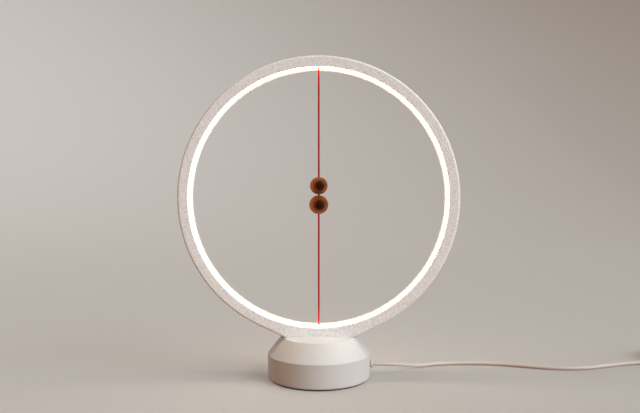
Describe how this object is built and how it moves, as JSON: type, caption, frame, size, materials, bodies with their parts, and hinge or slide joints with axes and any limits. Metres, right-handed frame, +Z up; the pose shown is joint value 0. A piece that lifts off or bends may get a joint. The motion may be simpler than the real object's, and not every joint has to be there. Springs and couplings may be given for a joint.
{
  "type": "magnetic balance lamp",
  "caption": "Lit ring on a round weighted base; two magnetic wooden beads on red cords meet inside the ring, and the lower cord pulls the lamp's switch.",
  "frame": {"origin": "middle of the base's underside, on the surface that the lamp stands on", "axes": "+Z up; the ring stands in the XZ plane and its front faces -Y; the lead leaves the base at +X"},
  "size_m": [0.5107, 0.1375, 0.2868],
  "materials": {
    "grained_white_plastic": "fine-grained matte",
    "diffuser": "milky, lit from behind",
    "eyelet_plastic": "milky",
    "cover_plastic": "matte",
    "black_foam": "matte",
    "zinc_steel": "zinc plated",
    "nickel": "nickel plated",
    "board_laminate": "solder mask",
    "strip_laminate": "white solder mask",
    "emitter_phosphor": "clear resin over phosphor",
    "black_component": "moulded",
    "connector_plastic": "moulded",
    "red_cord": "braided",
    "dark_walnut": "oiled",
    "white_lead": "satin",
    "tie_strap": "woven",
    "plug_plastic": "satin",
    "tongue_plastic": "moulded",
    "wire_insulation": "satin"
  },
  "bodies": {
    "lamp": {"anti_slip_pad": "black_foam", "ballast_plate": "zinc_steel", "base_bottom_cover": "cover_plastic", "base_cover_screws": "zinc_steel", "base_shell": "grained_white_plastic", "board_screws": "zinc_steel", "capacitors": "black_component", "control_board": "board_laminate", "cord_guide_tube": "eyelet_plastic", "driver_chip": "black_component", "lead_coil": "white_lead", "lead_connector": "connector_plastic", "lead_grommet": "white_lead", "lead_inner_end": "white_lead", "lead_stop_ring": "zinc_steel", "lead_tie": "tie_strap", "led_emitters": "emitter_phosphor", "led_strip": "strip_laminate", "led_supply_wires": "wire_insulation", "lever_bracket": "zinc_steel", "lever_pin": "zinc_steel", "lower_cord_eyelet": "eyelet_plastic", "micro_switch_body": "black_component", "plug_body": "plug_plastic", "plug_lead": "white_lead", "plug_shell": "nickel", "plug_tongue": "tongue_plastic", "power_inductor": "black_component", "power_lead": "white_lead", "return_spring": "zinc_steel", "ring_clamp_plate": "zinc_steel", "ring_clamp_screws": "zinc_steel", "ring_diffuser": "diffuser", "ring_front_shell": "grained_white_plastic", "ring_rear_shell": "grained_white_plastic", "upper_cord_anchor": "red_cord", "upper_cord_eyelet": "eyelet_plastic", "wire_connector": "connector_plastic"},
    "upper_knot": {"upper_cord_knot": "red_cord"},
    "upper_pendant": {"upper_cord": "red_cord", "upper_bead": "dark_walnut", "upper_magnet": "nickel", "upper_end_knot": "red_cord"},
    "pull_line": {"pull_cord": "red_cord", "pull_ferrule": "nickel"},
    "lower_knot": {"lower_cord_knot": "red_cord"},
    "lower_pendant": {"lower_cord": "red_cord", "lower_bead": "dark_walnut", "lower_magnet": "nickel", "lower_end_knot": "red_cord"},
    "lever": {"switch_lever": "connector_plastic"},
    "plunger": {"switch_plunger": "connector_plastic"}
  },
  "joints": [
    {"name": "upper_swing_sideways", "type": "hinge", "parent": "lamp", "child": "upper_knot", "pos_m": [0, 0, 0.2771], "axis": [0, 1, 0], "range_deg": [-55, 55]},
    {"name": "upper_swing_forwards", "type": "hinge", "parent": "upper_knot", "child": "upper_pendant", "pos_m": [0, 0, 0.2771], "axis": [1, 0, 0], "range_deg": [-70, 70]},
    {"name": "cord_pull", "type": "slide", "parent": "lamp", "child": "pull_line", "axis": [0, 0, 1], "range_m": [-0.0015, 0], "stiffness_N_per_m": 40, "springref_m": -0.0045, "deforming": ["return_spring"]},
    {"name": "lower_lean_sideways", "type": "hinge", "parent": "pull_line", "child": "lower_knot", "pos_m": [0, 0, 0.0479], "axis": [0, 1, 0], "range_deg": [-55, 55]},
    {"name": "lower_lean_forwards", "type": "hinge", "parent": "lower_knot", "child": "lower_pendant", "pos_m": [0, 0, 0.0479], "axis": [1, 0, 0], "range_deg": [-70, 70]},
    {"name": "switch_lever_turn", "type": "hinge", "parent": "lamp", "child": "lever", "pos_m": [-0.015, 0, 0.019], "axis": [0, 1, 0], "range_deg": [0, 6]},
    {"name": "plunger_travel", "type": "slide", "parent": "lamp", "child": "plunger", "axis": [0, 0, 1], "range_m": [-0.00055, 0]}
  ],
  "couplings": [
    {"joint": "switch_lever_turn", "follows": "cord_pull", "rad_per_m": -66.667},
    {"joint": "plunger_travel", "follows": "cord_pull", "ratio": 0.3333}
  ]
}
